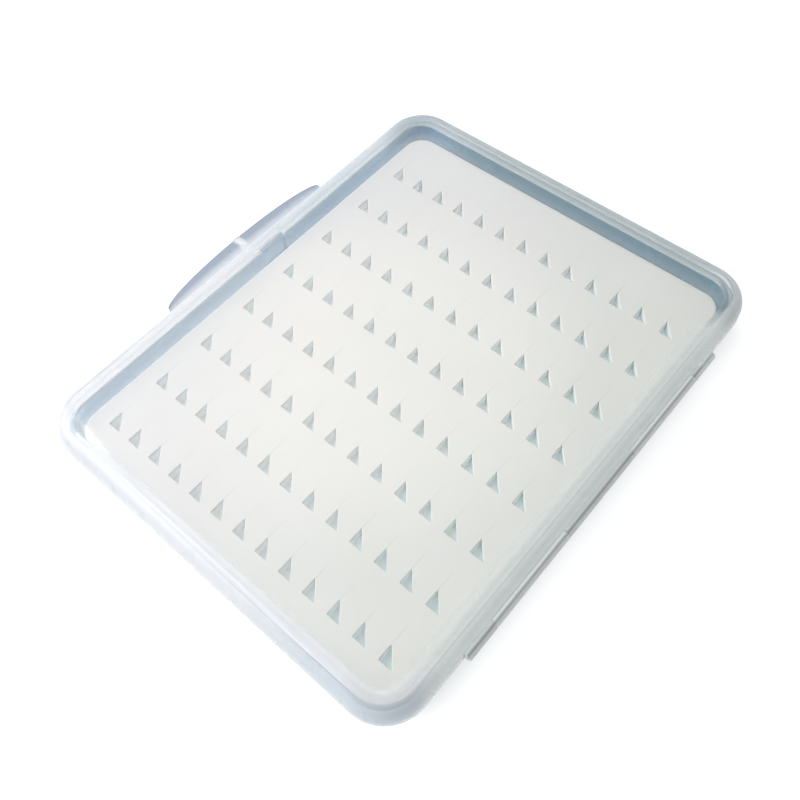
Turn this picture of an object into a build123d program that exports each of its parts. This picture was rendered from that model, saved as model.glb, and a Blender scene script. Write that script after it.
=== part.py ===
from build123d import *
import os

# Slim fly box: a shallow tray and a clear lid that turn on one steel pin, with a slotted silicone pad
# taped into the tray. X runs from the thumb tab (-X) to the hinge (+X), Y along the long side, Z up.
# The origin is the middle of the tray's flat underside. All sizes are in millimetres.

# Case, measured over the lid skirt and the tray flange
CASE_WIDTH = 104.0
CASE_LENGTH = 130.0
CORNER_RADIUS = 10.0

# Tray
FLOOR = 1.8
TRAY_WALL = 1.8
TRAY_BOTTOM_FILLET = 1.5
RIM_ROUND = 0.4
FLANGE_THICKNESS = 1.6
FLANGE_ROUND = 0.4

# Lid
LID_PLATE = 1.3
SKIRT = 2.25
LID_TOP_FILLET = 3.5
LID_INNER_FILLET = 0.5
SKIRT_ROUND = 0.3

# Running clearances
FIT_GAP = 0.35
PARTING_GAP = 0.1
CEILING_GAP = 1.0

# Pad and its adhesive sheet
TAPE = 0.3
TAPE_INSET = 1.5
PAD_THICKNESS = 6.0
PAD_GAP = 0.5
PAD_ROUND = 0.6

# Heights above the pad
PARTING_ABOVE_PAD = 2.6
RIM_ABOVE_PAD = 4.4

# Slots in the pad: a three-sided hole, with a fine slit running on from its tip. The rows sit a little
# off the pad's middle.
SLOT_WIDTH = 3.5
SLOT_LENGTH = 3.8
SLOT_DEPTH = 2.8
SLOT_PITCH_X = 6.8
SLOT_PITCH_Y = 13.94
SLIT_LENGTH = 5.2
SLIT_WIDTH = 0.25
SLOT_MARGIN_X = 3.5
SLOT_MARGIN_Y = 5.0
SLOT_SHIFT_X = 0.45
SLOT_SHIFT_Y = -0.85

# Thumb tab on the lid
TAB_LENGTH = 51.5
TAB_REACH = 4.7
TAB_THICKNESS = 2.5
TAB_LEDGE = 0.8
TAB_SCOOP = 1.1
TAB_RIB = 2.0
TAB_RIB_RISE = 0.3
TAB_ROUND = 0.35
TAB_ROOT = 1.2

# Sprung catch in the tray wall beside the tab
CATCH_LENGTH = 7.6
CATCH_OFFSET = 4.7
CATCH_POCKET = 1.3
CATCH_WALL = 1.0
CATCH_DROP = 2.0

# Snap nibs on the short sides
NIB_LENGTH = 3.0
NIB_HEIGHT = 0.25
NIB_SPACING = 63.0
NIB_BELOW_RIM = 0.7

# Hinge
HINGE_LENGTH = 87.0
END_KNUCKLE = 8.0
KNUCKLE_GAP = 0.3
BARREL_RADIUS = 1.3
BARREL_CLEARANCE = 0.3
HINGE_OUTSET = 0.2
HINGE_WEB = 1.5
PIN_RADIUS = 0.6
PIN_CLEARANCE = 0.03
PIN_CHAMFER = 0.15
BLIND_END = 5.0

# Heights
TAPE_TOP = FLOOR + TAPE
PAD_TOP = TAPE_TOP + PAD_THICKNESS
PARTING = PAD_TOP + PARTING_ABOVE_PAD
RIM_TOP = PAD_TOP + RIM_ABOVE_PAD
SKIRT_BOTTOM = PARTING + PARTING_GAP
CEILING = RIM_TOP + CEILING_GAP
LID_TOP = CEILING + LID_PLATE

# Insets of each outline from the case outline
TRAY_INSET = SKIRT + FIT_GAP
WELL_INSET = TRAY_INSET + TRAY_WALL
PAD_INSET = WELL_INSET + PAD_GAP

# Hinge axis
AXIS_X = CASE_WIDTH / 2 + HINGE_OUTSET
AXIS_Z = (PARTING + SKIRT_BOTTOM) / 2

# How far a cutter overshoots, and the most of a wall that a rounding on its edge may take
CUT = 1.0
WALL_SHARE = 0.45


def slab(inset, low, high):
    """A block with the case's rounded outline, drawn in by inset, between two heights."""
    outline = RectangleRounded(
        CASE_WIDTH - 2 * inset,
        CASE_LENGTH - 2 * inset,
        max(CORNER_RADIUS - inset, 0.5),
    )
    return extrude(Plane.XY.offset(low) * outline, amount=high - low)


def box(x_span, y_span, z_span):
    """A block between two values on each axis."""
    size = [high - low for low, high in (x_span, y_span, z_span)]
    middle = [(high + low) / 2 for low, high in (x_span, y_span, z_span)]
    return Pos(*middle) * Box(*size)


def rod(radius, y_low, y_high):
    """A round bar along the hinge axis."""
    bar = Cylinder(radius, y_high - y_low)
    return Pos(AXIS_X, (y_low + y_high) / 2, AXIS_Z) * Rot(90, 0, 0) * bar


def edges_at(part, height):
    """The edges that lie flat at one height."""
    return part.edges().filter_by_position(Axis.Z, height - 0.001, height + 0.001)


def knuckle_spans():
    """The stretches of the hinge in order: tray, lid, tray, lid, tray."""
    inner = (HINGE_LENGTH - 2 * END_KNUCKLE - 4 * KNUCKLE_GAP) / 3
    spans = []
    start = -HINGE_LENGTH / 2
    for length in (END_KNUCKLE, inner, inner, inner, END_KNUCKLE):
        spans.append((start, start + length))
        start += length + KNUCKLE_GAP
    return spans


def knuckles(spans, web_side):
    """Barrels on the hinge axis, each with a web into the tray (-1) or the lid (+1)."""
    face = web_side * (AXIS_Z - PARTING)
    edge = web_side * BARREL_RADIUS
    web_z = sorted((AXIS_Z + face, AXIS_Z + edge))
    made = []
    for low, high in spans:
        made.append(rod(BARREL_RADIUS, low, high))
        made.append(box((AXIS_X - HINGE_WEB, AXIS_X), (low, high), web_z))
    return made


def knuckle_room(spans, low_z):
    """Space for the other half's knuckles to turn in, open to the outside and from a height up."""
    reach = BARREL_RADIUS + BARREL_CLEARANCE
    room = []
    for near, far in spans:
        y_span = (near - KNUCKLE_GAP, far + KNUCKLE_GAP)
        room.append(rod(reach, *y_span))
        room.append(box((AXIS_X - reach, AXIS_X + reach), y_span, (low_z, AXIS_Z)))
    return room


def pin_bore():
    """The hole for the pin, closed at the far end."""
    return rod(
        PIN_RADIUS + PIN_CLEARANCE,
        -HINGE_LENGTH / 2 - CUT,
        HINGE_LENGTH / 2 - BLIND_END + KNUCKLE_GAP,
    )


def catch_block(length, x_inner, x_outer, z_span):
    """A block in the latch wall at the catch, between two distances from the middle of the case."""
    y_span = (CATCH_OFFSET - length / 2, CATCH_OFFSET + length / 2)
    return box((-x_outer, -x_inner), y_span, z_span)


def nibs(grow):
    """Low rounded ribs on the outside of the tray wall, two on each short side."""
    wall_y = CASE_LENGTH / 2 - TRAY_INSET
    bar = Cylinder(NIB_HEIGHT + grow, NIB_LENGTH + 2 * grow)
    height = RIM_TOP - NIB_BELOW_RIM
    return [
        Pos(side_x * NIB_SPACING / 2, side_y * wall_y, height) * Rot(0, 90, 0) * bar
        for side_x in (-1, 1)
        for side_y in (-1, 1)
    ]


def catch_bead(grow):
    """The bead along the outside of the catch."""
    face_x = CASE_WIDTH / 2 - WELL_INSET + CATCH_POCKET + CATCH_WALL
    bar = Cylinder(NIB_HEIGHT + grow, CATCH_LENGTH + 2 * grow)
    return Pos(-face_x, CATCH_OFFSET, RIM_TOP - NIB_BELOW_RIM) * Rot(90, 0, 0) * bar


def base_tray():
    well_x = CASE_WIDTH / 2 - WELL_INSET
    spans = knuckle_spans()
    body = slab(TRAY_INSET, 0, RIM_TOP)
    body = fillet(edges_at(body, 0), TRAY_BOTTOM_FILLET)
    flange = slab(0, PARTING - FLANGE_THICKNESS, PARTING)
    flange = fillet(edges_at(flange, PARTING - FLANGE_THICKNESS), FLANGE_ROUND)
    catch_low = PAD_TOP - CATCH_DROP
    catch = catch_block(
        CATCH_LENGTH + 2 * CATCH_WALL,
        well_x,
        well_x + CATCH_POCKET + CATCH_WALL,
        (catch_low - CATCH_WALL, RIM_TOP),
    )
    body = body + flange + catch
    body -= slab(WELL_INSET, FLOOR, RIM_TOP + CUT)
    body -= catch_block(
        CATCH_LENGTH, well_x - CUT, well_x + CATCH_POCKET, (catch_low, RIM_TOP + CUT)
    )
    body = fillet(edges_at(body, RIM_TOP), min(RIM_ROUND, CATCH_WALL * WALL_SHARE))
    body = body + nibs(0) + catch_bead(0)
    body -= knuckle_room(spans[1::2], PARTING - FLANGE_THICKNESS - CUT)
    body = body + knuckles(spans[0::2], -1)
    return body - pin_bore()


def tab_slope(drop):
    """What is cut off the tab's top so that it falls by drop from its ledge to its outer edge."""
    start_x = -CASE_WIDTH / 2 - TAB_LEDGE
    end_x = -CASE_WIDTH / 2 - TAB_REACH
    high = SKIRT_BOTTOM + TAB_THICKNESS
    side = Polygon(
        (start_x, high + CUT),
        (start_x, high),
        (end_x, high - drop),
        (end_x - CUT, high - drop),
        (end_x - CUT, high + CUT),
        align=None,
    )
    return extrude(Plane.XZ * side, amount=TAB_LENGTH, both=True)


def thumb_tab():
    """A half-oval lip on the lid with two sloping thumb scoops, one each side of a low rib."""
    wall_x = -CASE_WIDTH / 2
    low = SKIRT_BOTTOM
    high = low + TAB_THICKNESS
    plan = Pos(wall_x, 0) * Ellipse(TAB_REACH, TAB_LENGTH / 2)
    root_x = wall_x + TAB_ROOT
    inner = box((root_x, root_x + TAB_REACH + CUT), (-TAB_LENGTH, TAB_LENGTH), (low - CUT, high + CUT))
    tab = extrude(Plane.XY.offset(low) * plan, amount=TAB_THICKNESS) - inner
    tab = fillet(edges_at(tab, low).sort_by(Axis.X)[0], TAB_ROUND)
    rib = box((wall_x - TAB_REACH - CUT, wall_x), (-TAB_RIB / 2, TAB_RIB / 2), (low, high + CUT))
    tab -= tab_slope(TAB_SCOOP - TAB_RIB_RISE)
    return tab - (tab_slope(TAB_SCOOP) - rib)


def lid():
    spans = knuckle_spans()
    well_x = CASE_WIDTH / 2 - WELL_INSET
    shell = slab(0, SKIRT_BOTTOM, LID_TOP)
    shell = fillet(edges_at(shell, LID_TOP), LID_TOP_FILLET)
    shell = fillet(edges_at(shell, SKIRT_BOTTOM), SKIRT_ROUND)
    hollow = slab(SKIRT, SKIRT_BOTTOM - CUT, CEILING)
    hollow = fillet(edges_at(hollow, CEILING), LID_INNER_FILLET)
    tab_root = box(
        (-CASE_WIDTH / 2, -CASE_WIDTH / 2 + SKIRT),
        (-TAB_LENGTH / 2, TAB_LENGTH / 2),
        (SKIRT_BOTTOM, SKIRT_BOTTOM + SKIRT_ROUND),
    )
    shell = shell + thumb_tab() + tab_root
    shell -= hollow
    shell -= catch_block(
        CATCH_LENGTH + 2 * (CATCH_WALL + FIT_GAP),
        CASE_WIDTH / 2 - SKIRT - CUT,
        well_x + CATCH_POCKET + CATCH_WALL + FIT_GAP,
        (SKIRT_BOTTOM - CUT, CEILING),
    )
    shell -= catch_bead(FIT_GAP)
    for room in nibs(FIT_GAP):
        shell -= room
    shell -= knuckle_room(spans[0::2], SKIRT_BOTTOM - CUT)
    shell = shell + knuckles(spans[1::2], 1)
    return shell - pin_bore()


def hinge_pin():
    pin = rod(PIN_RADIUS, -HINGE_LENGTH / 2, HINGE_LENGTH / 2 - BLIND_END)
    return chamfer(pin.edges().filter_by(GeomType.CIRCLE), PIN_CHAMFER)


def pad_tape():
    return slab(PAD_INSET + TAPE_INSET, FLOOR, TAPE_TOP)


def slot_cutter():
    """One slot, with the square corner of its mouth at the origin and its top at height zero."""
    mouth = Polygon((0, 0), (SLOT_WIDTH, 0), (0, SLOT_LENGTH), align=None)
    hole = extrude(Plane.XY.offset(-SLOT_DEPTH) * mouth, amount=SLOT_DEPTH + CUT)
    tip = SLOT_LENGTH * (1 - SLIT_WIDTH / SLOT_WIDTH)
    slit = box((0, SLIT_WIDTH), (tip, SLOT_LENGTH + SLIT_LENGTH), (-SLOT_DEPTH, CUT))
    return hole + slit


def slot_places(width, length):
    """Where the slots' square corners go: as many as fit the pad, in even rows."""
    cell_y = SLOT_LENGTH + SLIT_LENGTH
    columns = int((width - 2 * SLOT_MARGIN_X - SLOT_WIDTH) / SLOT_PITCH_X) + 1
    rows = int((length - 2 * SLOT_MARGIN_Y - cell_y) / SLOT_PITCH_Y) + 1
    first_x = SLOT_SHIFT_X - ((columns - 1) * SLOT_PITCH_X + SLOT_WIDTH) / 2
    first_y = SLOT_SHIFT_Y - ((rows - 1) * SLOT_PITCH_Y + cell_y) / 2
    return [
        (first_x + column * SLOT_PITCH_X, first_y + row * SLOT_PITCH_Y)
        for row in range(rows)
        for column in range(columns)
    ]


def fly_pad():
    pad = slab(PAD_INSET, TAPE_TOP, PAD_TOP)
    pad = fillet(edges_at(pad, PAD_TOP), PAD_ROUND)
    width = CASE_WIDTH - 2 * PAD_INSET
    length = CASE_LENGTH - 2 * PAD_INSET
    cutter = slot_cutter()
    return pad - [Pos(x, y, PAD_TOP) * cutter for x, y in slot_places(width, length)]


PARTS = {
    "base_tray": base_tray,
    "pad_tape": pad_tape,
    "fly_pad": fly_pad,
    "hinge_pin": hinge_pin,
    "lid": lid,
}

os.makedirs("parts", exist_ok=True)
for name, make in PARTS.items():
    export_step(make(), os.path.join("parts", name + ".step"))
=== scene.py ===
import math

import bpy
from mathutils import Matrix, Vector, noise
from mathutils.geometry import delaunay_2d_cdt


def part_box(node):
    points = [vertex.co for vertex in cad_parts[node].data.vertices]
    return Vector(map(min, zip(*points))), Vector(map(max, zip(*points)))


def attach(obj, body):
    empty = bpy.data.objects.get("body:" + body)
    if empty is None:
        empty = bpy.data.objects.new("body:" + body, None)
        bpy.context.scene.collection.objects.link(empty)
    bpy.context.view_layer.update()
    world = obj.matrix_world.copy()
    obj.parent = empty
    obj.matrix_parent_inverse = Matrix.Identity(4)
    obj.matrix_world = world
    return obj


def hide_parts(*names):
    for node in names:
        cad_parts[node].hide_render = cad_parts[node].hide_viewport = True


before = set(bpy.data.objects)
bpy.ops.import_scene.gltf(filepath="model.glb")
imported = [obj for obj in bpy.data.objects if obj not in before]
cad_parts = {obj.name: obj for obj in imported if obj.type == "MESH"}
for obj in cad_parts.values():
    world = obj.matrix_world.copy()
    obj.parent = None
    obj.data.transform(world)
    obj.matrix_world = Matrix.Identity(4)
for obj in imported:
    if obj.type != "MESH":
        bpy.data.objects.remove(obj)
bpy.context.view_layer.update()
scene = bpy.context.scene
MM = 0.001

# The case's outline in millimetres: its corner radius, and half of the box that its corners turn round. The
# last value is past any height, so that only the outline counts.
CORNER = 10.0
CORE = (42.0, 55.0, 1000.0)

# The tray's well in millimetres: where its wall starts inside the outline, and its floor and its rim's top
WELL_INSET = (2.75, 2.95)
WELL_FLOOR, WELL_TOP, WELL_SOFT = 2.4, 12.1, 0.2

# The thumb tab's half oval in millimetres: half its length, how far it reaches, and its straight side on X.
# The step from its rib to its scoops lies between the last two, on either side of its middle.
TAB_HALF, TAB_REACH = 25.75, 4.7
TAB_ROOT = -52
RIB_STEP = (1.0, 1.2)

# A painted grey line of shade along the hinge barrels' outer side, in millimetres on X, and where the painted
# white highlight past it is full
SHADE_LINE_LEFT, SHADE_LINE_RIGHT, SHADE_LINE_SOFT = 52.45, 52.85, 0.2
BARREL_HIGHLIGHT = 53.05

# Indexes of refraction
PLASTIC_IOR, SILICONE_IOR = 1.49, 1.41

# Colours that are used more than once, among them the painted shade of the hinge line and of the far left
# corner
WHITE = (1.0, 1.0, 1.0)
SHADE_LINE_TONE = (0.42, 0.48, 0.47)
FAR_LEFT_SHADE = (0.5, 0.58, 0.64)

# ---------------------------------------------------------------- node helpers


def with_alpha(value):
    """A colour with its alpha for a node's input, and anything else as it is."""
    return (*value, 1) if isinstance(value, tuple) else value


class Nodes:
    """A node tree with short calls for the nodes used below."""

    def __init__(self, tree):
        self.tree = tree
        self.tree.nodes.clear()

    def add(self, kind, inputs=None, **settings):
        """A node with its settings made. Each input, by its name or number, gets a link or a value."""
        node = self.tree.nodes.new(kind)
        for name, value in settings.items():
            setattr(node, name, value)
        for name, value in (inputs or {}).items():
            if isinstance(value, bpy.types.NodeSocket):
                self.tree.links.new(value, node.inputs[name])
            else:
                node.inputs[name].default_value = value
        return node

    def place(self, stretch=(1, 1, 1)):
        """Object coordinates in metres, scaled on each axis."""
        coords = self.add("ShaderNodeTexCoord").outputs["Object"]
        return self.add("ShaderNodeMapping", {"Vector": coords, "Scale": stretch}).outputs["Vector"]

    def axis(self, name):
        """One of the object coordinates X, Y and Z, in metres."""
        return self.add("ShaderNodeSeparateXYZ", {0: self.place()}).outputs[name]

    def noise(self, scale, detail, rough=0.55, stretch=(1, 1, 1)):
        inputs = {"Vector": self.place(stretch), "Scale": scale, "Detail": detail, "Roughness": rough}
        return self.add("ShaderNodeTexNoise", inputs).outputs["Fac"]

    def ramp(self, fac, *stops):
        """Values or colours between stops, each given as its position and what it has there."""
        node = self.add("ShaderNodeValToRGB", {"Fac": fac})
        while len(node.color_ramp.elements) < len(stops):
            node.color_ramp.elements.new(0.5)
        for element, (position, value) in zip(node.color_ramp.elements, stops):
            element.position = position
            colour = value if isinstance(value, tuple) else (value,) * 3
            element.color = with_alpha(colour)
        return node.outputs["Color"]

    def math(self, operation, a, b=0):
        return self.add("ShaderNodeMath", {0: a, 1: b}, operation=operation).outputs[0]

    def times(self, first, *others):
        """A product, taken from left to right."""
        for other in others:
            first = self.math("MULTIPLY", first, other)
        return first

    def vector(self, operation, a, b):
        return self.add("ShaderNodeVectorMath", {0: a, 1: b}, operation=operation).outputs[0]

    def step(self, value, low, high):
        """0 up to low and 1 from high on, smooth between. Low may be the larger of the two."""
        inputs = {"Value": value, "From Min": low, "From Max": high}
        return self.add("ShaderNodeMapRange", inputs, interpolation_type="SMOOTHSTEP").outputs["Result"]

    def between(self, value, low, high, soft):
        """1 from low to high, 0 outside, smooth over the width soft at each end."""
        above = self.step(value, low - soft / 2, low + soft / 2)
        below = self.step(value, high + soft / 2, high - soft / 2)
        return self.times(above, below)

    def past(self, name, start, full):
        """A step along the axis of that name, with its places in millimetres."""
        return self.step(self.axis(name), start * MM, full * MM)

    def corner(self, across, along):
        """1 past both ends of a step across the case, on X, and a step along it, on Y."""
        return self.times(self.past("X", *across), self.past("Y", *along))

    def inset(self):
        """How far in millimetres a point lies inside the case's rounded outline, up to its corner radius."""
        place, core = self.place(), Vector(CORE) * MM
        nearest = self.vector("MAXIMUM", self.vector("MINIMUM", place, core), -core)
        apart = self.add("ShaderNodeSeparateXYZ", {0: self.vector("SUBTRACT", place, nearest)}).outputs
        squares = self.math("ADD", *(self.times(apart[i], apart[i]) for i in ("X", "Y")))
        return self.math("SUBTRACT", CORNER, self.math("DIVIDE", self.math("SQRT", squares), MM))

    def blend(self, fac, a, b):
        """From a to b as fac goes from 0 to 1."""
        inputs = {0: fac, 6: with_alpha(a), 7: with_alpha(b)}
        return self.add("ShaderNodeMix", inputs, data_type="RGBA").outputs[2]

    def layers(self, colour, *pairs):
        """A colour with others laid over it in turn, each given as its mask and the colour."""
        for mask, over in pairs:
            colour = self.blend(mask, colour, over)
        return colour

    def around(self, near_left, near_right, far_left, far, right):
        """Painted light and shade: a colour that changes slowly round the case, lighter at the near left and
        darker towards the far side and the hinge, as the light falls.
        """
        left = self.blend(self.past("Y", -14, 26), near_left, far_left)
        other = self.blend(self.past("Y", -60, -46), near_right, right)
        sides = self.blend(self.past("X", -25, 42), left, other)
        return self.blend(self.corner((-64, -20), (46, 60)), sides, far)

    def bump(self, height, strength, distance, below=None):
        inputs = {"Height": height, "Strength": strength, "Distance": distance}
        if below is not None:
            inputs["Normal"] = below
        return self.add("ShaderNodeBump", inputs).outputs["Normal"]

    def principled(self, inputs):
        return self.add("ShaderNodeBsdfPrincipled", inputs).outputs[0]

    def mix(self, fac, a, b):
        """From shader a to shader b as fac goes from 0 to 1."""
        return self.add("ShaderNodeMixShader", {0: fac, 1: a, 2: b}).outputs[0]

    def rays(self, *kinds):
        """1 for light rays of any of these kinds, and 0 for others."""
        path = self.add("ShaderNodeLightPath").outputs
        found = path[f"Is {kinds[0]} Ray"]
        for kind in kinds[1:]:
            found = self.math("MAXIMUM", found, path[f"Is {kind} Ray"])
        return found

    def surface(self, shader, volume=None):
        inputs = {"Surface": shader}
        if volume is not None:
            inputs["Volume"] = volume
        self.add("ShaderNodeOutputMaterial", inputs)


def material(name):
    mat = bpy.data.materials.new(name)
    mat.use_nodes = True
    return mat, Nodes(mat.node_tree)


# ---------------------------------------------------------------- clear plastic


def moulded(name, paint, passed, absorb, density):
    """Clear moulded plastic with a milky share. paint gives the clear share's tint, the milk's colour and how
    milky each place is. Light on its way to what lies behind goes straight through, less what it loses."""
    mat, n = material(name)
    tint, milk, share = paint(n)
    wave = n.bump(n.noise(55, 1), 0.2, 0.0002)
    scuffs = n.noise(420, 5, 0.7, (1, 0.35, 1))
    clear = n.principled({
        "Base Color": tint,
        "Roughness": n.ramp(scuffs, (0.45, 0.03), (0.62, 0.05), (0.8, 0.12)),
        "IOR": PLASTIC_IOR,
        "Transmission Weight": 1,
        "Normal": wave,
    })
    cloud = n.principled({
        "Base Color": milk,
        "Roughness": n.ramp(n.noise(140, 3), (0.3, 0.24), (0.7, 0.34)),
        "IOR": PLASTIC_IOR,
        "Normal": wave,
    })
    through = n.add("ShaderNodeBsdfTransparent", {"Color": with_alpha(passed)}).outputs[0]
    depth = {"Color": with_alpha(absorb), "Density": density}
    n.surface(
        n.mix(n.rays("Shadow", "Diffuse"), n.mix(share, clear, cloud), through),
        n.add("ShaderNodeVolumeAbsorption", depth).outputs[0],
    )
    return mat


def hinge_shade_and_highlight(n, milk):
    """The milk with a painted grey line of shade along the barrels' outer side, and a painted white highlight
    past it, where the barrels catch the light, and with it the line's mask."""
    pin = n.between(n.axis("X"), SHADE_LINE_LEFT * MM, SHADE_LINE_RIGHT * MM, SHADE_LINE_SOFT * MM)
    return n.layers(milk, (pin, SHADE_LINE_TONE), (n.past("X", SHADE_LINE_RIGHT, BARREL_HIGHLIGHT), WHITE)), pin


def tray_paint(n):
    """Milky blue-white rim and flange, with the well's walls clearer and a deeper blue-grey that is partly the
    plastic's tint and partly painted shade, and painted light and shade laid over all of it as the light falls
    round the case.
    """
    inset = n.inset()
    wall_height = n.between(n.axis("Z"), WELL_FLOOR * MM, WELL_TOP * MM, WELL_SOFT * MM)
    well = n.times(n.step(inset, *WELL_INSET), wall_height)

    # painted light on the well wall along the near side and the hinge side, lifting the shade by the pad, and
    # painted shade on the far left corner
    near = n.times(n.past("Y", -58.5, -60.3), n.past("X", -42, -39.5))
    hinge = n.times(n.past("X", 46, 47.4), n.past("Y", 58, 54))
    far_left = n.corner((-34, -46), (44, 58))
    upper_far_left_shade = n.times(far_left, n.past("Z", 8.4, 10))

    # a small share of painted light low on the far wall, and small shares of other tones high and low on the
    # thumb tab's wall
    lit_far_foot = n.times(n.past("Y", 58, 60), n.past("Z", 10.2, 8.0), 0.13)
    tab_top = n.times(n.past("X", -46, -47.5), n.past("Z", 9.6, 12.4), 0.28)
    tab_foot = n.times(n.past("X", -44, -46), n.past("Z", 9.8, 8.2), 0.13)

    # painted shade on the tips of the near left and far right corners, and on the rim's inner edge there
    tip = n.corner((-42, -43.5), (-57.3, -59.3))
    shaded_nook = n.corner((43, 45.5), (52, 54.5))
    lip = n.step(inset, 3.2, 3.6)
    shaded_tip_lip, shaded_nook_lip = n.times(tip, lip), n.times(shaded_nook, lip)

    # painted shade on the near side but for its right end, and painted light on the ledge outside the rim along
    # the thumb tab's side
    front = n.times(near, n.past("X", 34, 10))
    lit_ledge = n.times(n.step(inset, 2.6, 2.4), n.past("X", -42, -47), n.past("Y", 58, 44))

    # pale and deep tint the clear share, and rim and wall colour the milk: deep and wall on the well's wall,
    # and the other two elsewhere
    pale = n.layers(
        n.around(
            near_left=(0.82, 0.87, 0.91),
            near_right=(0.8, 0.84, 0.88),
            far_left=(0.74, 0.82, 0.88),
            far=(0.53, 0.59, 0.62),
            right=(0.72, 0.78, 0.76),
        ),
        (far_left, FAR_LEFT_SHADE),
        (shaded_tip_lip, (0.15, 0.3, 0.4)),
        (shaded_nook_lip, (0.25, 0.36, 0.4)),
    )
    deep = n.layers(
        n.around(
            near_left=(0.32, 0.46, 0.62),
            near_right=(0.35, 0.48, 0.6),
            far_left=(0.15, 0.28, 0.45),
            far=(0.03, 0.12, 0.19),
            right=(0.5, 0.55, 0.57),
        ),
        (upper_far_left_shade, (0.06, 0.16, 0.3)),
        (tip, (0.02, 0.1, 0.2)),
        (lit_far_foot, (0.9, 0.95, 0.98)),
        (tab_foot, (0.75, 0.45, 0.2)),
        (tab_top, (0.76, 0.98, 1.0)),
        (hinge, (0.74, 0.8, 0.8)),
        (near, (0.96, 0.98, 0.99)),
    )
    rim = n.layers(
        n.around(
            near_left=(0.82, 0.84, 0.88),
            near_right=(0.8, 0.83, 0.87),
            far_left=(0.7, 0.77, 0.82),
            far=(0.5, 0.57, 0.59),
            right=(0.7, 0.76, 0.74),
        ),
        (front, (0.72, 0.74, 0.78)),
        (far_left, FAR_LEFT_SHADE),
        (lit_ledge, (0.97, 0.98, 0.99)),
        (shaded_tip_lip, (0.1, 0.22, 0.33)),
        (shaded_nook_lip, (0.2, 0.3, 0.33)),
    )
    wall = n.layers(
        n.around(
            near_left=(0.5, 0.61, 0.73),
            near_right=(0.5, 0.6, 0.7),
            far_left=(0.3, 0.46, 0.61),
            far=(0.12, 0.26, 0.35),
            right=(0.7, 0.76, 0.77),
        ),
        (upper_far_left_shade, (0.11, 0.24, 0.38)),
        (tip, (0.03, 0.12, 0.2)),
        (lit_far_foot, (0.92, 0.95, 0.97)),
        (tab_foot, (0.8, 0.5, 0.25)),
        (tab_top, (0.8, 0.98, 1.0)),
        (hinge, (0.74, 0.79, 0.79)),
        (near, (0.96, 0.97, 0.98)),
    )
    # pin is the mask of the painted shade line along the hinge barrels
    milk, pin = hinge_shade_and_highlight(n, n.blend(well, rim, wall))
    share = n.ramp(n.math("SUBTRACT", well, pin), (0.0, 0.55), (1.0, 0.35))
    # the near left tip's well wall is nearly all milk, so that its painted shade shows
    share = n.blend(n.times(well, tip), share, (0.95, 0.95, 0.95))
    return n.blend(well, pale, deep), milk, share


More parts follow.
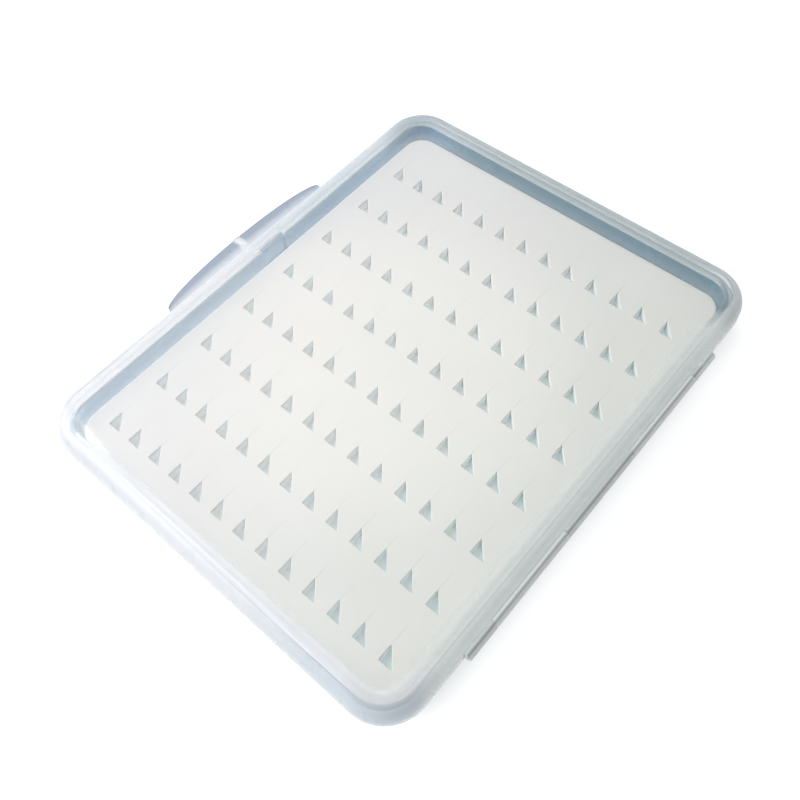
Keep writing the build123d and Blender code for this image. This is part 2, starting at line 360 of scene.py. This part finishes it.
def lid_paint(n):
    """A clear plate that turns milky over its rounded edge and skirt, with painted grey shade in the thumb
    tab's scoops and painted light and shade round the skirt.
    """
    marks = n.noise(38, 2)
    inset, x, y = n.inset(), n.axis("X"), n.axis("Y")
    tab_side, hinge = n.past("X", -42, -46), n.past("X", 43, 46)
    near = n.past("Y", -56.5, -59)

    # how milky the edge is: further in along the thumb tab's side, the near side and the hinge,
    # and less far in at the far right corner
    edge = n.math("MAXIMUM", n.step(inset, 4.4, 2.6), n.times(tab_side, n.step(inset, 5.2, 3.6)))
    near_veil = n.times(near, n.step(inset, 5.7, 4.7), n.past("X", -38.5, -35.5))
    edge = n.math("MAXIMUM", edge, n.times(near_veil, 0.9))
    hinge_veil = n.times(hinge, n.past("Y", 50, 46), n.step(inset, 6.2, 5.1))
    edge = n.math("MAXIMUM", edge, n.times(hinge_veil, 0.4))
    edge = n.blend(n.corner((36, 42), (46, 50)), edge, n.step(inset, 3.1, 2.6))

    # the thumb tab's two scoops, over its half oval and apart from the rib in its middle, painted grey as shade
    off_rib = n.step(n.math("ABSOLUTE", y), RIB_STEP[0] * MM, RIB_STEP[1] * MM)
    along = n.math("DIVIDE", y, TAB_HALF * MM)
    reach = n.math("SQRT", n.math("MAXIMUM", n.math("SUBTRACT", 1, n.times(along, along)), 0.02))
    out = n.math("DIVIDE", n.math("SUBTRACT", TAB_ROOT * MM, x), n.times(reach, TAB_REACH * MM))
    shaded_scoop = n.times(n.step(out, 0.0, 0.5), off_rib)
    plate = n.ramp(marks, (0.3, (0.995, 0.998, 1.0)), (0.7, (0.985, 0.992, 0.998)))

    # the skirt's tones, painted light and shade throughout: outer is its outside, and inner lies further in, on
    # its rounded top. Outer is darkened over the barrels' tops and at the near left corner, toning down their
    # highlights
    front = n.times(near, n.past("X", 34, 10))
    left_end = n.times(near, n.past("X", -8, -34))
    near_left = n.times(n.past("Y", -25, -45), tab_side)
    far_left = n.corner((-34, -46), (44, 58))
    far_right = n.corner((38, 46), (48, 58))
    near_right = n.corner((36, 45), (-51, -58))
    outer = n.layers(
        n.around(
            near_left=(0.74, 0.76, 0.82),
            near_right=(0.69, 0.76, 0.83),
            far_left=(0.65, 0.72, 0.79),
            far=(0.52, 0.59, 0.61),
            right=(0.95, 1.0, 1.0),
        ),
        (n.past("X", 51.6, 51.9), (0.75, 0.82, 0.8)),
        (front, (0.82, 0.84, 0.88)),
        (near_left, (0.6, 0.63, 0.71)),
        (left_end, (0.76, 0.78, 0.83)),
        (far_left, (0.47, 0.54, 0.59)),
        (far_right, (0.72, 0.78, 0.8)),
    )
    inner = n.layers(
        n.around(
            near_left=(0.91, 0.92, 0.95),
            near_right=(0.87, 0.88, 0.93),
            far_left=(0.75, 0.81, 0.87),
            far=(0.52, 0.59, 0.61),
            right=(0.8, 0.85, 0.83),
        ),
        (n.times(front, n.step(inset, 3.5, 2.7)), (0.66, 0.68, 0.72)),
        (left_end, (0.76, 0.78, 0.82)),
        (far_left, FAR_LEFT_SHADE),
        (n.times(near_right, n.step(inset, 5, 4)), (0.73, 0.75, 0.76)),
    )
    skirt = n.blend(n.step(inset, 2.7, 2.4), inner, outer)

    # painted shade: a grey line between the two round the right half, fainter at the hinge and wide at the near
    # right corner
    line = n.times(n.corner((-15, 15), (50, 40)), n.between(inset, 2.3, 2.6, 0.15))
    line = n.times(line, n.math("SUBTRACT", 0.65, n.times(hinge, 0.25)))
    wide = n.times(near_right, n.between(inset, 1.8, 2.8, 0.4), 0.5)
    skirt = n.blend(n.math("MAXIMUM", line, wide), skirt, (0.3, 0.36, 0.42))

    # pin is the mask of the painted shade line along the hinge barrels
    milk, pin = hinge_shade_and_highlight(n, n.blend(shaded_scoop, skirt, (0.34, 0.4, 0.49)))
    edge = n.math("MAXIMUM", edge, n.times(pin, 1.6))
    edge = n.times(edge, n.math("ADD", n.times(hinge, 0.2), 0.52))
    share = n.math("ADD", n.math("ADD", edge, n.times(shaded_scoop, 0.3)), 0.02)
    return n.blend(shaded_scoop, plate, (0.42, 0.49, 0.58)), milk, share


# ---------------------------------------------------------------- silicone, film and steel

# The oval that the pad's lighter, creamy middle follows, a painted pool of light, in millimetres: how far left
# of the case's middle it lies, and its half axes
OVAL_LEFT, OVAL_X, OVAL_Y = 4, 40, 48

# The height over which the slots' cut sides turn into the pad's face, in millimetres
CUT_HEIGHT = (6.9, 7.9)


def silicone(name):
    """White silicone with faint clouding, a fine matt grain and soft waves, with painted light and shade: it is
    lighter and creamy in the middle, turns greener and darker towards the hinge, darkest at that side's
    corners, and its slots are cut a bluish white as a painted cool cast of shade."""
    mat, n = material(name)
    clouds = n.noise(45, 4, 0.6)

    def clouded(dark, light):
        return n.ramp(clouds, (0.3, dark), (0.7, light))

    # how far out a place lies, squared, counted so that it is 1 on the oval
    across = n.math("DIVIDE", n.math("ADD", n.axis("X"), OVAL_LEFT * MM), OVAL_X * MM)
    along = n.math("DIVIDE", n.axis("Y"), OVAL_Y * MM)
    far_out = n.math("ADD", n.times(across, across), n.times(along, along))
    # painted light: the oval middle is lighter and creamier
    middle = n.step(far_out, 1.5, 0.1)
    left = n.blend(
        middle,
        clouded((0.855, 0.85, 0.85), (0.885, 0.88, 0.88)),
        clouded((0.96, 0.945, 0.915), (0.985, 0.97, 0.94)),
    )
    # painted shade: the hinge side darkens outward, most at its corners
    shaded_right_edge = n.blend(
        n.step(far_out, 2.0, 3.0),
        clouded((0.815, 0.835, 0.79), (0.845, 0.865, 0.82)),
        clouded((0.765, 0.785, 0.74), (0.795, 0.815, 0.77)),
    )
    right = n.blend(middle, shaded_right_edge, clouded((0.93, 0.94, 0.885), (0.96, 0.97, 0.915)))
    face = n.blend(n.past("X", -40, 50), left, right)
    # the slots' cut sides: a bluish white, a painted cool cast of shade, bluer towards the hinge
    cut = n.ramp(n.noise(300, 3), (0.3, (0.955, 0.98, 0.985)), (0.7, (0.98, 0.995, 1.0)))
    cut = n.blend(n.past("X", 0, 45), cut, (0.925, 0.98, 0.985))
    wave = n.bump(n.noise(120, 2), 0.15, 0.0003)
    n.surface(n.principled({
        "Base Color": n.blend(n.past("Z", *CUT_HEIGHT), cut, face),
        "Roughness": n.ramp(n.noise(900, 4), (0.3, 0.5), (0.7, 0.66)),
        "IOR": SILICONE_IOR,
        "Normal": n.bump(n.noise(2600, 2), 0.12, 0.00005, wave),
    }))
    return mat


def film(name):
    """Double-sided adhesive film: dull white with faint crinkles."""
    mat, n = material(name)
    n.surface(n.principled({
        "Base Color": n.ramp(n.noise(160, 5), (0.35, (0.78, 0.81, 0.8)), (0.7, (0.86, 0.88, 0.87))),
        "Roughness": n.ramp(n.noise(300, 3), (0.3, 0.6), (0.7, 0.8)),
        "Normal": n.bump(n.noise(500, 4), 0.3, 0.0001),
    }))
    return mat


def drawn_steel(name):
    """Stainless wire with fine draw lines along its length."""
    mat, n = material(name)
    lines = n.noise(5200, 3, 0.6, (1, 0.02, 1))
    n.surface(n.principled({
        "Base Color": n.ramp(lines, (0.3, (0.44, 0.45, 0.455)), (0.7, (0.62, 0.63, 0.635))),
        "Metallic": 1,
        "Roughness": n.ramp(lines, (0.3, 0.24), (0.7, 0.4)),
        "Normal": n.bump(lines, 0.2, 0.00003),
    }))
    return mat


# ---------------------------------------------------------------- the fly pad

# Slots, in millimetres from the pad's middle: a three-sided hole, with a fine slit running on from its tip.
# The shift is that of the whole grid of slots.
SLOT_WIDTH, SLOT_LENGTH, SLOT_DEPTH = 3.5, 3.8, 2.8
PITCH_X, PITCH_Y = 6.8, 13.94
COLUMNS, ROWS = 13, 8
SHIFT_X, SHIFT_Y = 0.45, -0.85
SLIT_LENGTH = 5.2
SLIT_END = SLOT_LENGTH + SLIT_LENGTH

# A slot's rounded lip: its radius, the flat kept round it, and the angles that it is built at, in degrees
LIP = 0.11
LIP_MARGIN = 0.07
LIP_ANGLES = (0, 22, 45, 68, 90)

# The radius of the pad's corners, in how many steps they turn, and the rounding of its top edge
PAD_CORNER, CORNER_STEPS, PAD_ROUND = 5.1, 10, 0.6

# Its soft top: how far it lies under its box, how far its waves rise and fall, how long they are, and the level
# of the noise that they are read at
TOP_DROP, TOP_WAVE, WAVE_LENGTH, NOISE_LEVEL = 0.05, 0.045, 17, 3.7

# The grid of points that carries the waves, and how far it keeps from the pad's edge, from a slot's sides,
# from its slit's end and side, from its mouth's tip and, by the last two, from its slanting side
GRID, EDGE_GAP = 1.7, 1.4
SIDE_GAP, END_GAP, SLIT_GAP, TIP_GAP, SLANT_GAP, SLANT_SHARE = 0.75, 0.6, 0.9, 0.8, 1.1, 1.15

# Edges sharper than this many degrees show as edges
SHARP = 50


def rounded_outline(half_x, half_y, radius):
    """A rounded rectangle's corners, anticlockwise."""
    points = []
    for sx, sy, start in ((1, 1, 0), (-1, 1, 90), (-1, -1, 180), (1, -1, 270)):
        x, y = sx * (half_x - radius), sy * (half_y - radius)
        for i in range(CORNER_STEPS + 1):
            a = math.radians(start + 90 * i / CORNER_STEPS)
            points.append((x + radius * math.cos(a), y + radius * math.sin(a)))
    return points


def slot_outline():
    """The mouth of one slot, anticlockwise from its square corner, with how wide the lip is at each point."""
    mouth = [(0.0, 0.24), (0.02, 0.09), (0.09, 0.02), (0.24, 0.0)]
    mouth += [(SLOT_WIDTH * t, 0.0) for t in (0.3, 0.5, 0.7, 0.88)]
    mouth += [(SLOT_WIDTH - 0.14, 0.01), (SLOT_WIDTH - 0.09, 0.05), (SLOT_WIDTH - 0.14, 0.15)]
    mouth += [(SLOT_WIDTH * (1 - t), SLOT_LENGTH * t) for t in (0.15, 0.35, 0.55, 0.75, 0.9, 0.97)]
    points = [(x, y, LIP) for x, y in mouth]
    for t in (0.02, 0.2, 0.45, 0.7, 0.9):
        points.append((0.03 - 0.015 * t, SLOT_LENGTH + SLIT_LENGTH * t, 0.02 - 0.01 * t))
    points.append((0.01, SLIT_END, 0.01))
    for t in (0.9, 0.7, 0.45, 0.2, 0.0):
        points.append((0.0, SLOT_LENGTH + SLIT_LENGTH * t, 0.02 - 0.01 * t))
    points += [(0.0, SLOT_LENGTH * t, LIP) for t in (0.85, 0.65, 0.45, 0.25)]
    return points


def outward(points):
    """The direction away from the hole at each point of an anticlockwise outline. It is longer at a turn,
    within limits, so that both its sides move out alike."""
    ways = []
    for i, (x, y, _) in enumerate(points):
        before, after = points[i - 1], points[(i + 1) % len(points)]
        a = Vector((x - before[0], y - before[1])).normalized()
        b = Vector((after[0] - x, after[1] - y)).normalized()
        way = Vector((a.y + b.y, -a.x - b.x))
        way = way.normalized() if way.length > 1e-6 else a
        ways.append(way * min(1 / max(way.dot(Vector((a.y, -a.x))), 0.3), 1.6))
    return ways


def surface_rise(x, y):
    """How high the pad's soft top lies over the top of its box: it is always a little below it."""
    return -TOP_DROP - TOP_WAVE * noise.noise(Vector((x / WAVE_LENGTH, y / WAVE_LENGTH, NOISE_LEVEL)))


class Surface:
    """Points in millimetres from the pad's middle, and the faces between them."""

    def __init__(self):
        self.verts, self.faces = [], []

    def ring(self, points):
        """Adds a loop of points and gives their numbers."""
        start = len(self.verts)
        self.verts.extend(points)
        return list(range(start, len(self.verts)))

    def bridge(self, lower, upper):
        """Joins two loops of as many points with four-sided faces."""
        for i in range(len(lower)):
            j = (i + 1) % len(lower)
            self.faces.append((lower[i], lower[j], upper[j], upper[i]))


def add_side(surface, half, bottom, top):
    """The bottom and the side, from the bottom's small rounding up to the top's larger one. Gives the top's
    loop."""
    profile = [(0.3, 0.0), (0.09, 0.09), (0.0, 0.3), (0.0, top - bottom - PAD_ROUND)]
    for angle in (22.5, 45, 67.5, 90):
        a = math.radians(angle)
        profile.append((PAD_ROUND * (1 - math.cos(a)), top - bottom - PAD_ROUND * (1 - math.sin(a))))
    rings = []
    for inset, rise in profile:
        outline = rounded_outline(half.x - inset, half.y - inset, PAD_CORNER - inset)
        waves = (inset, rise) == profile[-1]
        rings.append(surface.ring([
            (x, y, bottom + rise + (surface_rise(x, y) if waves else 0)) for x, y in outline
        ]))
    surface.faces.append(tuple(reversed(rings[0])))
    for lower, upper in zip(rings, rings[1:]):
        surface.bridge(lower, upper)
    return rings[-1]


def slot_levels():
    """Loops from the flat round a slot's lip, over the lip and down to the slot's floor."""
    outline = slot_outline()
    points = [(x, y, r, way) for (x, y, r), way in zip(outline, outward(outline))]
    margin = LIP_MARGIN
    levels = [[(x + way.x * (r + margin), y + way.y * (r + margin), 0.0) for x, y, r, way in points]]
    for angle in LIP_ANGLES:
        a = math.radians(angle)
        levels.append([
            (x + way.x * r * (1 - math.sin(a)), y + way.y * r * (1 - math.sin(a)), -r * (1 - math.cos(a)))
            for x, y, r, way in points
        ])
    for depth in (SLOT_DEPTH / 2, SLOT_DEPTH):
        levels.append([(x, y, -depth) for x, y, _ in outline])
    return levels


def add_slots(surface, top):
    """All the slots. Gives each one's square corner and the loop round its mouth."""
    levels = slot_levels()
    first_x = SHIFT_X - ((COLUMNS - 1) * PITCH_X + SLOT_WIDTH) / 2
    first_y = SHIFT_Y - ((ROWS - 1) * PITCH_Y + SLIT_END) / 2
    mouths = []
    for row in range(ROWS):
        for column in range(COLUMNS):
            ox, oy = first_x + column * PITCH_X, first_y + row * PITCH_Y
            rings = []
            for level in levels:
                places = [(ox + x, oy + y, z) for x, y, z in level]
                rings.append(surface.ring([(x, y, top + surface_rise(x, y) + z) for x, y, z in places]))
            for upper, lower in zip(rings, rings[1:]):
                surface.bridge(upper, lower)
            surface.faces.append(tuple(rings[-1]))
            mouths.append((ox, oy, rings[0]))
    return mouths


def by_slot(across, along):
    """Whether a place, counted from a slot's square corner, is too near the slot for a point of the grid."""
    if not (-SIDE_GAP < across < SLOT_WIDTH + SIDE_GAP and -SIDE_GAP < along < SLIT_END + END_GAP):
        return False
    if along > SLOT_LENGTH and across < SLIT_GAP:
        return True
    slant = across / (SLOT_WIDTH + SLANT_GAP) + along / (SLOT_LENGTH + SLANT_GAP)
    return along <= SLOT_LENGTH + TIP_GAP and slant < SLANT_SHARE


def by_edge(x, y, half):
    """Whether a place is too near the pad's edge or its rounded corner for a point of the grid."""
    if abs(x) > half.x - EDGE_GAP or abs(y) > half.y - EDGE_GAP:
        return True
    beyond_x, beyond_y = max(abs(x) - half.x + PAD_CORNER, 0), max(abs(y) - half.y + PAD_CORNER, 0)
    return math.hypot(beyond_x, beyond_y) > PAD_CORNER - EDGE_GAP


def inside(loop, x, y):
    """Whether a place lies inside a loop of points."""
    hit = False
    for (ax, ay), (bx, by) in zip(loop, loop[1:] + loop[:1]):
        if (ay > y) != (by > y) and x < (bx - ax) * (y - ay) / (by - ay) + ax:
            hit = not hit
    return hit


def add_top(surface, half, top, side, mouths):
    """The top, filled between the side and the slots over a grid that carries the soft waves."""
    loops = [side] + [mouth for _, _, mouth in mouths]
    order = [i for loop in loops for i in loop]
    flat = [Vector(surface.verts[i][:2]) for i in order]
    edges, at = [], 0
    for loop in loops:
        edges += [(at + i, at + (i + 1) % len(loop)) for i in range(len(loop))]
        at += len(loop)
    for i in range(-int(half.x / GRID), int(half.x / GRID) + 1):
        for j in range(-int(half.y / GRID), int(half.y / GRID) + 1):
            x, y = i * GRID, j * GRID
            if by_edge(x, y, half) or any(by_slot(x - ox, y - oy) for ox, oy, _ in mouths):
                continue
            flat.append(Vector((x, y)))
            order.extend(surface.ring([(x, y, top + surface_rise(x, y))]))
    _, _, filled, from_verts, _, _ = delaunay_2d_cdt(flat, edges, [], 0, 1e-6)
    index = [order[source[0]] if source else None for source in from_verts]

    # the fill covers the slots' mouths too, so the faces inside them are left out
    mouth_of = {i: number for number, (_, _, mouth) in enumerate(mouths) for i in mouth}
    mouth_loops = [[surface.verts[i][:2] for i in mouth] for _, _, mouth in mouths]
    for face in filled:
        corners = [index[i] for i in face]
        owners = {mouth_of.get(i) for i in corners}
        if len(owners) == 1 and None not in owners:
            x = sum(surface.verts[i][0] for i in corners) / len(corners)
            y = sum(surface.verts[i][1] for i in corners) / len(corners)
            if inside(mouth_loops[owners.pop()], x, y):
                continue
        surface.faces.append(tuple(corners))


def build_pad(mat):
    low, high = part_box("fly_pad")
    centre, half = (low + high) / 2 / MM, (high - low) / 2 / MM
    bottom, top = low.z / MM, high.z / MM
    surface = Surface()
    side = add_side(surface, half, bottom, top)
    mouths = add_slots(surface, top)
    add_top(surface, half, top, side, mouths)

    mesh = bpy.data.meshes.new("slotted_pad")
    places = [((x + centre.x) * MM, (y + centre.y) * MM, z * MM) for x, y, z in surface.verts]
    mesh.from_pydata(places, [], surface.faces)
    mesh.validate()
    mesh.materials.append(mat)
    pad = bpy.data.objects.new("slotted_pad", mesh)
    scene.collection.objects.link(pad)
    mesh.shade_smooth()
    mesh.set_sharp_from_angle(angle=math.radians(SHARP))
    return pad


# ---------------------------------------------------------------- dress the part

looks = {
    "base_tray": moulded(
        "clear_tray", tray_paint, passed=(0.95, 0.965, 0.97), absorb=(0.3, 0.6, 0.8), density=12
    ),
    "lid": moulded(
        "clear_lid", lid_paint, passed=(0.985, 0.98, 0.975), absorb=(0.35, 0.65, 0.85), density=8
    ),
    "pad_tape": film("adhesive_film"),
    "hinge_pin": drawn_steel("drawn_steel"),
}
for name, mat in looks.items():
    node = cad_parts[name]
    for slot in node.material_slots:
        slot.material = mat

pad = build_pad(silicone("white_silicone"))
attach(pad, "tray")
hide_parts("fly_pad")

# ---------------------------------------------------------------- floor

# Half the floor's side, and how far it lies under the part, in metres
FLOOR_HALF, FLOOR_LEVEL = 1.6, -0.0002

# How strongly the floor glows to the rays that see it: near the part, how much more far from it, and to the
# camera alone. It grows between these squares of the distance, in square metres.
GLOW_NEAR, GLOW_MORE, GLOW_CAMERA = 0.38, 0.6, 0.05
GLOW_START, GLOW_FULL = 0.09, 0.6


def build_floor():
    mesh = bpy.data.meshes.new("floor")
    corners = ((-1, -1), (1, -1), (1, 1), (-1, 1))
    places = [(FLOOR_HALF * x, FLOOR_HALF * y, FLOOR_LEVEL) for x, y in corners]
    mesh.from_pydata(places, [], [(0, 1, 2, 3)])
    floor = bpy.data.objects.new("floor", mesh)
    scene.collection.objects.link(floor)
    mat, n = material("floor_white")
    matt = n.principled({
        "Base Color": n.ramp(n.noise(6, 2), (0.3, 0.93), (0.7, 0.95)),
        "Roughness": 0.9,
    })
    x, y = n.axis("X"), n.axis("Y")
    far = n.step(n.math("ADD", n.times(x, x), n.times(y, y)), GLOW_START, GLOW_FULL)
    level = n.math("ADD", n.times(far, GLOW_MORE), GLOW_NEAR)
    seen = n.times(n.rays("Glossy", "Transmission", "Camera"), level)
    faint = n.times(n.rays("Camera"), GLOW_CAMERA)
    glow = n.add("ShaderNodeEmission", {"Strength": n.math("ADD", seen, faint)}).outputs[0]
    n.surface(n.add("ShaderNodeAddShader", {0: matt, 1: glow}).outputs[0])
    mesh.materials.append(mat)
    return floor


build_floor()

# ---------------------------------------------------------------- light

# Clear walls behind each other need many bounces
CLEAR_BOUNCES, DIFFUSE_BOUNCES = 28, 8
scene.cycles.max_bounces = CLEAR_BOUNCES
scene.cycles.transmission_bounces = CLEAR_BOUNCES
scene.cycles.diffuse_bounces = DIFFUSE_BOUNCES

# The world lights the part at this strength, more from the side that its lean points to, and looks white
WORLD_STRENGTH = 0.44
WORLD_LEAN = (-0.28, -0.22, 0)

# The one lamp, a disk: its place and size in metres, and its watts
LAMP_PLACE, LAMP_SIZE, LAMP_WATTS = (-0.31, -0.22, 0.385), 0.46, 2.3


def build_world():
    world = bpy.data.worlds.new("studio")
    world.use_nodes = True
    n = Nodes(world.node_tree)
    way = n.add("ShaderNodeTexCoord").outputs["Generated"]
    side = n.add("ShaderNodeVectorMath", {0: way, 1: WORLD_LEAN}, operation="DOT_PRODUCT").outputs["Value"]
    strength = n.times(n.math("ADD", side, 1), WORLD_STRENGTH)
    white = with_alpha(WHITE)
    lit = n.add("ShaderNodeBackground", {"Color": white, "Strength": strength}).outputs[0]
    shown = n.add("ShaderNodeBackground", {"Color": white, "Strength": 1}).outputs[0]
    seen = n.rays("Glossy", "Transmission", "Camera")
    n.add("ShaderNodeOutputWorld", {"Surface": n.mix(seen, lit, shown)})
    return world


def build_lamp():
    lamp = bpy.data.lights.new("key", "AREA")
    lamp.shape = "DISK"
    lamp.size = LAMP_SIZE
    lamp.energy = LAMP_WATTS
    key = bpy.data.objects.new("key", lamp)
    key.location = LAMP_PLACE
    key.rotation_euler = (-Vector(LAMP_PLACE)).to_track_quat("-Z", "Y").to_euler()
    scene.collection.objects.link(key)


scene.world = build_world()
build_lamp()

# ---------------------------------------------------------------- camera

# Found from the slot grid in the photo: the camera's place in metres and its directions
CAMERA_PLACE = (0.07666, -0.07641, 0.17105)
CAMERA_RIGHT = (0.75410601, 0.65423943, -0.05740115)
CAMERA_UP = (-0.53812214, 0.66563022, 0.5170696)
CAMERA_BACK = (0.37649526, -0.35903646, 0.85401647)
SENSOR_WIDTH, LENS, CLIP_START = 36, 38.13, 0.01

camera = bpy.data.objects.new("camera", bpy.data.cameras.new("camera"))
camera.data.sensor_width = SENSOR_WIDTH
camera.data.lens = LENS
camera.data.clip_start = CLIP_START
turn = Matrix((CAMERA_RIGHT, CAMERA_UP, CAMERA_BACK)).transposed().to_4x4()
camera.matrix_world = Matrix.Translation(CAMERA_PLACE) @ turn
scene.collection.objects.link(camera)
scene.camera = camera
scene.view_settings.view_transform = "Standard"
